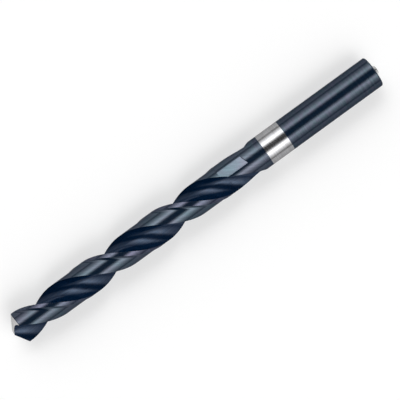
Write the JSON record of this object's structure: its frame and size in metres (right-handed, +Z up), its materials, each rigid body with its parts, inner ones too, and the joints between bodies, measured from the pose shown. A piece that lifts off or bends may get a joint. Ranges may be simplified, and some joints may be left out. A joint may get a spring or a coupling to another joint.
{
  "type": "jobber drill bit",
  "caption": "Jobber-length twist drill: right-hand helical flutes, 118 degree point, plain round shank for a chuck.",
  "frame": {"origin": "centre of the shank's end face, on the drill's axis", "axes": "+X along the drill's axis, from the shank to the point; +Z up, with the drill lying on its side"},
  "size_m": [0.133, 0.01, 0.01],
  "materials": {
    "hss": "steam-tempered blue-black over ground high-speed steel, bright where ground afterwards"
  },
  "bodies": {
    "root": {"drill_bit": "hss"}
  },
  "joints": []
}
